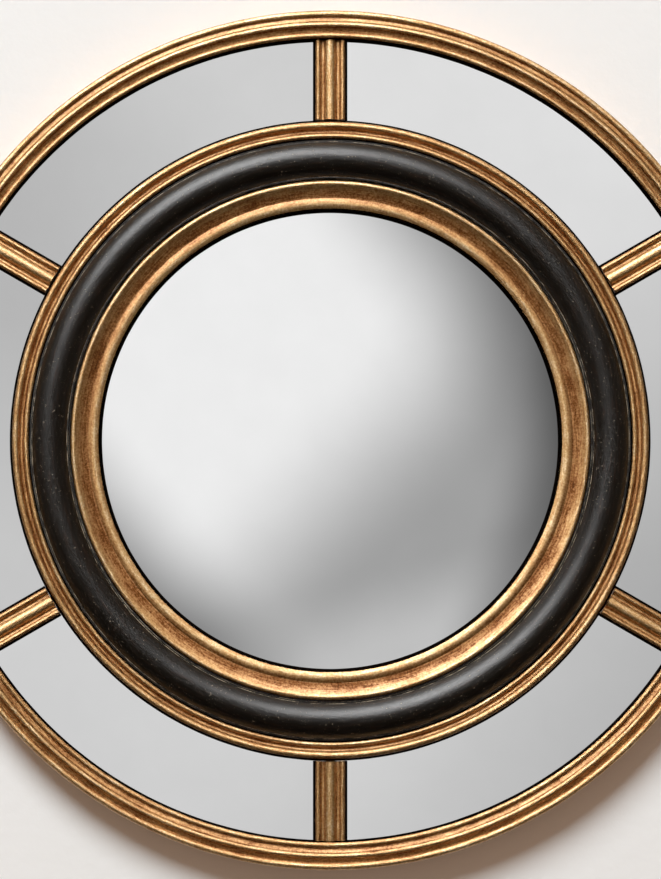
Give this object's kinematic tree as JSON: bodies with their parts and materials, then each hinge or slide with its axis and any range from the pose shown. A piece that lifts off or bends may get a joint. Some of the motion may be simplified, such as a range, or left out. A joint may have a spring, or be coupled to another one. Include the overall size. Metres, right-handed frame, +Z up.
{
  "type": "convex butlers mirror",
  "caption": "Round wall mirror with a domed centre glass, a black cushion ring, flat panes between reeded bars, and a moulded gilt rim.",
  "frame": {"origin": "centre of the rim's rear face, on the wall", "axes": "+Z up, the mirror faces -Y and the wall is the plane y = 0, +X to the viewer's right"},
  "size_m": [0.6199, 0.0434, 0.62],
  "materials": {
    "gilt_wood": "water-gilt on gesso, rubbed back",
    "ebonised_wood": "black, satin, worn at its edges",
    "flat_mirror_glass": "silvered",
    "convex_mirror_glass": "silvered behind, domed",
    "board": "raw fibreboard",
    "packing_felt": "pressed felt",
    "plated_steel": "zinc plated"
  },
  "bodies": {
    "mirror": {"outer_rim": "gilt_wood", "inner_gilt_band": "gilt_wood", "ebonised_ring": "ebonised_wood", "sight_slip": "gilt_wood", "convex_glass": "convex_mirror_glass", "glass_packing": "packing_felt", "back_board": "board", "back_cover": "board", "hanger_strap_left": "plated_steel", "hanger_strap_right": "plated_steel", "rim_screws": "plated_steel", "band_screws": "plated_steel", "cushion_screws": "plated_steel", "bar_screws": "plated_steel", "cover_screws": "plated_steel", "hanger_screws": "plated_steel", "glazing_bar_1": "gilt_wood", "flat_pane_1": "flat_mirror_glass", "glazing_bar_2": "gilt_wood", "flat_pane_2": "flat_mirror_glass", "glazing_bar_3": "gilt_wood", "flat_pane_3": "flat_mirror_glass", "glazing_bar_4": "gilt_wood", "flat_pane_4": "flat_mirror_glass", "glazing_bar_5": "gilt_wood", "flat_pane_5": "flat_mirror_glass", "glazing_bar_6": "gilt_wood", "flat_pane_6": "flat_mirror_glass"},
    "left_hoop": {"hanger_hoop_left": "plated_steel"},
    "right_hoop": {"hanger_hoop_right": "plated_steel"}
  },
  "joints": [
    {"name": "left_hoop_hinge", "type": "hinge", "parent": "mirror", "child": "left_hoop", "pos_m": [-0.18318, -0.00525, 0.16494], "axis": [1, 0, 0], "range_deg": [0, 175.38]},
    {"name": "right_hoop_hinge", "type": "hinge", "parent": "mirror", "child": "right_hoop", "pos_m": [0.18318, -0.00525, 0.16494], "axis": [1, 0, 0], "range_deg": [0, 175.38]}
  ]
}
